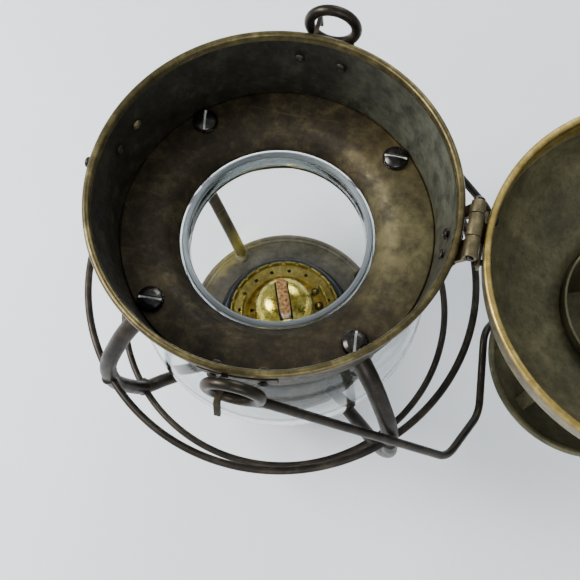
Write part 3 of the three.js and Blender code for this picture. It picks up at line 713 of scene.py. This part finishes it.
# Under the collar, from 150 up, the neck takes the grey glass, painted shade; the rim and the foot
# edge take the dark frosted glass.
piece = make("globe", *revolve(globe, 180, 3), [CLEAR, GROUND, SHADED_NECK],
             lambda p: 1 if p.z > 161.4 or p.z < 38.7 else 2 if p.z > 150 else 0)
settle(piece, "lantern", "clear_glass", "glass_globe")


# ------------------------------------------------------------ base, seal and burner

base = [(31.2, 50.5), (33.8, 50.5), (34.3, 50), (34.3, 38.6), (34.7, 38), (50.6, 38),
        (51, 38.3), (51.8, 38.3), (52.2, 38), (53, 38), (53.4, 38.3), (54.1, 38.3),
        (54.8, 38), (55.6, 37.5), (56, 36.6), (55.6, 35.7), (54.6, 35.3), (51.2, 35.3),
        (50.8, 34.5), (50.8, 5.6), (51.8, 4.2), (52, 2.4), (51.5, 0.7), (50.6, 0),
        (49.9, 0.6), (49.6, 5.6), (49.6, 33.9), (48.6, 36.6), (33.8, 36.6), (33, 37.4),
        (33, 49.3), (31.2, 49.3)]
piece = make("drum", *revolve(base, 160, 0.7), [DRUM])
settle(piece, "lantern", "drum_grey", "base_housing")

seal = [(31.2, 50.8), (33.9, 50.8), (33.9, 51.9), (33.3, 52.5), (31.8, 52.5), (31.2, 51.9)]
settle(make("seal", *revolve(seal, 128, 0.5), [RUBBER]), "lantern", "seal_rubber", "seal_ring")

fount = [(0, 0), (40.5, 0), (45.3, 3), (46.5, 7), (46.5, 15.6), (43, 19.6), (14, 20.2),
         (14, 26), (12.4, 26), (12.4, 19), (42.5, 18.4), (45.3, 15), (45.3, 7.4), (44.3, 4),
         (40.1, 1.2), (0, 1.2)]
settle(make("fount", *revolve(fount, 96, 0.8), [TIN]), "lantern", "lid_tin", "fount_tank")

ring = [(14.4, 20.6), (17.4, 20.6), (17.4, 25.2), (16.8, 26), (14.4, 26)]
settle(make("screw_ring", *revolve(ring, 64, 0.3), [AGED]), "lantern", "aged_brass",
       "burner_collar")

basket = [(15, 26.3), (16.2, 26.3), (16.2, 34), (20, 40), (24, 46), (27.5, 50), (28.6, 53.3),
          (27.4, 53.3), (26.5, 50.6), (23, 46.8), (19, 40.8), (15, 34.6)]
piece = make("basket", *revolve(basket, 80, 0.8), [AGED])
vents = [bar(1.5, polar(16, 45 * i + 7, 43.4), polar(1, 45 * i + 7, 0), 12, 20)
         for i in range(8)]
settle(carve(piece, joined(*vents)), "lantern", "aged_brass", "burner_body")

gallery = [(14, 58), (15.4, 58), (15.8, 55.5), (17, 53.4), (20.5, 53.4), (22, 54.8),
           (28.8, 54.8), (29.5, 57), (30.5, 57), (30.5, 54.8), (29.4, 53.7), (22.4, 53.7),
           (20.9, 52.3), (16.6, 52.3), (14.8, 54.8), (14.4, 57), (14, 57)]


def gallery_band(p):
    """Index of the material: 0 inner lip, 1 trough, 2 flange."""
    r = math.hypot(p.x, p.y)
    return 0 if r < 15.6 else 1 if r < 23.2 else 2


piece = make("gallery", *revolve(gallery, 96, 0.5), [BRASS, TROUGH, FLANGE], gallery_band)
cuts = [moved(prism([(28.6, -0.9), (32, -0.9), (32, 0.9), (28.6, 0.9)], 55.5, 60),
              turned(15 * i)) for i in range(24)]
cuts += [bar(1.0, polar(25.4, 22.5 * i + 8, 52), (0, 0, 1), 5, 16) for i in range(16)]
cuts += [bar(1.1, polar(18.8, 45 * i + 6, 50), (0, 0, 1), 6, 16) for i in range(8)]
settle(carve(piece, joined(*cuts)), "lantern", "bright_brass", "burner_gallery")

for name, node, middle, a0, a1 in (("clip_left", "gallery_clip_left", 23.7, 170, 202),
                                   ("clip_right", "gallery_clip_right", 24.1, 20, 52)):
    shape = sector(middle - 0.5, middle + 0.5, 55.1, 60.5, a0, a1)
    settle(soften(make(name, *shape, [BRASS]), 0.3), "lantern", "bright_brass", node)

for i, (r, angle) in enumerate(((21.2, 50), (19.4, 27))):
    blob(f"nub_{i + 1}", polar(r, angle, 55.2), (1.3, 1.3, 1.5), BRASS, "lantern",
         "bright_brass", 40 + i)
    # A thin black ring round the foot of each nub.
    ring = [polar(1.9, 30 * k, 54.9 - 0.5 * i) + polar(r, angle, 0) for k in range(12)]
    piece = make(f"nub_foot_ring_{i + 1}", *sweep(ring, lambda t: 0.45, 10, closed=True), [RUBBER])
    settle(piece, "lantern", "bright_brass")

WICK_TURN = turned(WICK_ANGLE)
cone = [(16.7, 58.3), (16.7, 62.5), (16.4, 66), (15.3, 70.5), (13.2, 74.6), (9.9, 77.4),
        (5.5, 79), (0, 79.5), (0, 78.5), (5.2, 78), (9.3, 76.6), (12.3, 74), (14.3, 70.2),
        (15.4, 65.9), (15.7, 62.5), (15.7, 58.3)]
piece = make("dome", *revolve(cone, 96, 1.6), [BRASS])
slit = prism([(-10.9, -3.7), (10.9, -3.7), (10.9, 3.7), (-10.9, 3.7)], 73, 85)
settle(carve(piece, moved(slit, WICK_TURN)), "lantern", "bright_brass", "burner_dome")


def make_wick():
    """A woven strip with an uneven frayed top."""
    across, thick, up = 44, 12, 60
    low, high = 12.0, 84.0
    half, side = WICK_HALF, WICK_HALF_THICK
    loop = [(-half + 2 * half * i / across, -side) for i in range(across)]
    loop += [(half, -side + 2 * side * i / thick) for i in range(thick)]
    loop += [(half - 2 * half * i / across, side) for i in range(across)]
    loop += [(-half, side - 2 * side * i / thick) for i in range(thick)]
    verts, faces = [], []
    count = len(loop)
    for k in range(up + 1):
        z = low + (high - low) * k / up
        for x, y in loop:
            lift = 0.5 * noise.noise(Vector((x * 0.9, y, 3))) if k > up - 3 else 0
            rib = 1 - 0.03 * (0.5 + 0.5 * math.sin(x * 5.2))
            rib *= 1 - 0.55 * max(0, (abs(x) - 7) / 3) ** 2
            verts.append(WICK_TURN(Vector((x, y * rib, z + lift))))
    for k in range(up):
        for i in range(count):
            j = (i + 1) % count
            faces.append((k * count + i, k * count + j, (k + 1) * count + j,
                          (k + 1) * count + i))
    faces.append(tuple(range(count - 1, -1, -1)))
    faces.append(tuple(up * count + i for i in range(count)))
    shapes = [(verts, faces)]
    for _ in range(420):
        foot = Vector((random.uniform(-9.7, 9.7), random.uniform(-2.5, 2.5), high - 0.4))
        lean = Vector((random.uniform(-0.5, 0.5), random.uniform(-0.5, 0.5), 1.0))
        path = [foot, foot + lean * random.uniform(0.5, 1.0)]
        shape = sweep(path, lambda t: 0.16 - 0.1 * t, 5)
        shapes.append(moved(shape, WICK_TURN))
    return joined(*shapes)


piece = make("wick_strip", *make_wick(), [COTTON, CHAR], lambda p: 1 if p.z > 83.4 else 0, 60)
settle(piece, "wick", "wick_cotton", "wick")


# ------------------------------------------------------------ bail ears and latch

hook = [(73.6, 197), (74.5, 197), (75, 200.6), (77.4, 203), (84.9, 203), (85.2, 202.4),
        (87.7, 194.5), (89.1, 194.9), (86.6, 203.6), (85.6, 204.6), (76.8, 204.6),
        (73.6, 201.4)]
for name, angle, half, a0, a1 in (("front", 270, 1.3, 261, 285), ("back", 90, 0.9, 75, 99)):
    shape = joined(wall_plate(189, 200.5, a0, a1), radial_plate(hook, -half, half, angle))
    piece = soften(make(f"{name}_ear", *shape, [PATINA]), 0.3)
    settle(piece, "lantern", "dark_patina", f"{name}_ear_bracket")

piece = make("latch_base", *wall_plate(189, 202, 155, 186), [PATINA])
settle(soften(piece, 0.3), "lantern", "dark_patina", "latch_plate")
stud = [(0, 73.2), (1.4, 73.2), (1.4, 75), (2, 75), (2, 77.4), (2.3, 77.7), (2.2, 78.7),
        (1.2, 79.3), (0, 79.4)]
shape = moved(revolve(stud, 32, 0.4), along((0, 0, STUD_Z), (-1, 0, 0)))
settle(make("stud", *shape, [EYE]), "lantern", "cage_bronze", "latch_stud")


# ------------------------------------------------------------ main hinge

def hinge_leaf(way, plate_from, plate_to, lean, spans):
    arm = [(73.9, 9.3), (75.1, 9.3), (75.1, 7.7), (78.9, 2.7), (78, 0.3), (76.4, 1.1),
           (76, 2.9), (73.9, 6.5)]
    arm = [(x, HINGE_Z + way * drop) for x, drop in arm]
    plate = [(73.9, plate_from), (75.1, plate_from), (75.1 - lean, plate_to),
             (73.9 - lean, plate_to)]
    plate = [(x, HINGE_Z + way * drop) for x, drop in plate]
    shapes = [radial_plate(plate, -12, 12)]
    for y0, y1 in spans:
        shapes.append(radial_plate(arm, y0, y1))
        barrel = [(1.6, 0), (2.9, 0), (2.9, y1 - y0), (1.6, y1 - y0)]
        shapes.append(moved(revolve(barrel, 40, 0.35), along((HINGE_X, y0, HINGE_Z), (0, 1, 0))))
    return joined(*shapes)


piece = make("collar_leaf", *hinge_leaf(-1, 6.5, 22.5, 2.2, [(6.65, 12), (-12, -3.35)]), [AGED])
settle(soften(piece, 0.2), "lantern", "aged_brass", "hinge_collar_leaf")
shape = moved(hinge_leaf(1, 6.5, 10.3, 0, [(-3.05, 6.35)]), open_lid)
settle(soften(make("lid_leaf", *shape, [AGED]), 0.2), "lid", "aged_brass", "hinge_lid_leaf")
pin = [(0, -12.8), (1.3, -12.8), (1.3, 12.3), (2.3, 12.3), (2.3, 13.2), (1.4, 13.9), (0, 14)]
shape = moved(revolve(pin, 32, 0.3), along((HINGE_X, 0, HINGE_Z), (0, 1, 0)))
settle(make("pin", *shape, [STEEL]), "lantern", "dark_steel", "hinge_pin")


# ------------------------------------------------------------ lid

def lid_piece(name, outline, segments, reach, materials, bands=None):
    raised = [(r, LID_EDGE_Z + h) for r, h in outline]
    return make(name, *moved(revolve(raised, segments, reach), open_lid), materials, bands)


def skirt_band(p):
    r = math.hypot(p.x - 2 * HINGE_X, p.y)
    drop = 2 * HINGE_Z - LID_EDGE_Z - p.z
    if drop < 0.9:
        return 0
    if r < 72.6 and drop < 4.0:
        return 1
    return 2 if r < 72.6 else 3


skirt = [(72.2, 0), (73.9, 0), (74.6, 0.7), (74.6, 2.3), (73.9, 3), (73.6, 3.6),
         (73.6, 10.6), (72.8, 11.7), (71.8, 11.7), (72.2, 10.4), (72.2, 4.2), (71.6, 3.4),
         (71.6, 1)]
piece = lid_piece("lid_band", skirt, 192, 0.5, [LIP, GOLD, LIP, AGED], skirt_band)
settle(piece, "lid", "aged_brass", "lid_skirt")
shell = [(72.9, 12), (72.4, 14.5), (70, 20), (65.5, 26.5), (59, 32.5), (51, 37.8), (43, 42),
         (36.6, 45), (34.6, 45.6), (34.6, 44.4), (36.2, 43.8), (42.4, 40.9), (50.3, 36.8),
         (58.1, 31.6), (64.4, 25.7), (68.8, 19.5), (71.2, 14.2), (71.7, 12)]
settle(lid_piece("lid_shell", shell, 160, 3, [TIN]), "lid", "lid_tin", "lid_dome")
stack = [(33, 38), (34.2, 38), (34.2, 46), (38.5, 46), (38.5, 47), (34.2, 47), (34.2, 110),
         (34.5, 111), (34.2, 112), (33.3, 112), (33, 111)]
settle(lid_piece("chimney", stack, 128, 0.4, [TIN]), "lid", "lid_tin", "chimney_stack")
cap = [(0, 138), (14, 137.2), (26, 134.6), (36, 130), (43, 125), (46.8, 121.4),
       (48.2, 121.8), (49.6, 121.1), (50, 119.8), (49.6, 118.6), (48.3, 118), (46.9, 118.5),
       (46.2, 119.8), (45.6, 121), (42.2, 123.9), (35.4, 128.7), (25.6, 133.2),
       (13.8, 135.8), (0, 136.6)]
settle(lid_piece("cap", cap, 160, 1.2, [TIN]), "lid", "lid_tin", "chimney_cap")
leg = [(34.6, 90), (35.7, 90), (35.7, 109.8), (43, 122.3), (42, 123), (34.6, 110.3)]
leg = [(r, LID_EDGE_Z + h) for r, h in leg]
for i, angle in enumerate(CORNERS):
    shape = moved(radial_plate(leg, -3.5, 3.5, angle), open_lid)
    settle(soften(make(f"leg_{i + 1}", *shape, [TIN]), 0.25), "lid", "lid_tin", f"cap_leg_{i + 1}")


# ------------------------------------------------------------ hasp

web = [(77, 211), (77, 212.7), (74.4, 214.6), (74.4, 212.4)]
shapes = [sector(73.9, 75.1, LID_EDGE_Z + 4.2, LID_EDGE_Z + 10.2, 173, 187)]
knuckle = [(1.1, 0), (1.7, 0), (1.7, 3), (1.1, 3)]
for y in (-6.2, 3.2):
    shapes.append(moved(revolve(knuckle, 32, 0.2), along((HASP_X, y, HASP_Z), (0, 1, 0))))
    shapes.append(radial_plate(web, -y - 3, -y, 180))
piece = make("hasp_mount", *moved(joined(*shapes), open_lid), [AGED])
settle(soften(piece, 0.2), "lid", "aged_brass", "hasp_bracket")
hasp_pin = [(0, -7), (1.5, -7), (1.5, -6.5), (0.8, -6.5), (0.8, 6.5), (1.5, 6.5), (1.5, 7),
            (0, 7)]
shape = moved(moved(revolve(hasp_pin, 28, 0.15), along((HASP_X, 0, HASP_Z), (0, 1, 0))), open_lid)
settle(make("hasp_axle", *shape, [STEEL]), "lid", "dark_steel", "hasp_pin")
strap = [(-2.9, 211.9), (2.9, 211.9), (2.9, 213.4), (5, 214.4), (5, 229), (3.4, 231),
         (-3.4, 231), (-5, 229), (-5, 214.4), (-2.9, 213.4)]
flat = moved(prism(strap, 76.4, 77.6), lambda v: Vector((-v.z, v.x, v.y)))
tube = [(1.1, 0), (1.7, 0), (1.7, 5.8), (1.1, 5.8)]
piece = make("hasp_strap", *moved(flat, open_lid), [AGED])
hole = moved(bar(2.8, (-72, 0, 224), (-1, 0, 0), 10), open_lid)
carve(piece, hole)
settle(soften(piece, 0.25), "hasp", "aged_brass", "lid_hasp")
shape = moved(revolve(tube, 32, 0.2), along((HASP_X, -2.9, HASP_Z), (0, 1, 0)))
settle(make("hasp_knuckle", *moved(shape, open_lid), [AGED]), "hasp", "aged_brass", "lid_hasp")


# ------------------------------------------------------------ bail

DROOP = math.radians(BAIL_DROOP)


def on_bail(reach, y):
    """A point in the bail's own sloping plane."""
    x, z = BAIL_PIVOT
    return Vector((x + reach * math.cos(DROOP), y, z - reach * math.sin(DROOP)))


BAIL_CORNERS = [(12.2, -80.2), (142, -66.2), (163.5, -38), (156, 3), (164.5, 13), (156, 23),
                (163.5, 38), (142, 66.2), (13.4, 80.2)]


def bent(corners, reach, steps):
    """The bail's path with its corners rounded."""
    points = [on_bail(*corners[0])]
    for i in range(1, len(corners) - 1):
        here = on_bail(*corners[i])
        before = on_bail(*corners[i - 1]) - here
        after = on_bail(*corners[i + 1]) - here
        r = min(reach, before.length / 2.1, after.length / 2.1)
        start, end = here + before.normalized() * r, here + after.normalized() * r
        for k in range(steps + 1):
            t = k / steps
            points.append(start * (1 - t) ** 2 + here * (2 * t * (1 - t)) + end * t ** 2)
    points.append(on_bail(*corners[-1]))
    return points


settle(make("bail_rod", *sweep(bent(BAIL_CORNERS, 7, 9), lambda t: 1.95, 24), [BAIL]), "bail",
       "cage_bronze", "bail_wire")
for name, y, middle in (("front", -81, 5), ("back", 81, 6.5)):
    path = [Vector((middle + EYE_R * math.cos(a), y, BAIL_PIVOT[1] + EYE_R * math.sin(a)))
            for a in (2 * math.pi * k / 72 for k in range(72))]
    piece = make(f"{name}_eye", *sweep(path, lambda t: EYE_WIRE, 24, closed=True), [EYE])
    settle(piece, "bail", "cage_bronze", f"bail_ring_{name}")
    joint = on_bail(12.8, y * 80.4 / 81)
    blob(f"{name}_braze", joint, (3.0, 2.3, 3.0), EYE, "bail", "cage_bronze", y)


# ------------------------------------------------------------ nodes kept from the CAD

for name, material in (("wick_tube", AGED), ("wick_spindle", STEEL), ("wick_knob", BRASS)):
    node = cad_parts[name]
    node.data.materials.clear()
    node.data.materials.append(material)

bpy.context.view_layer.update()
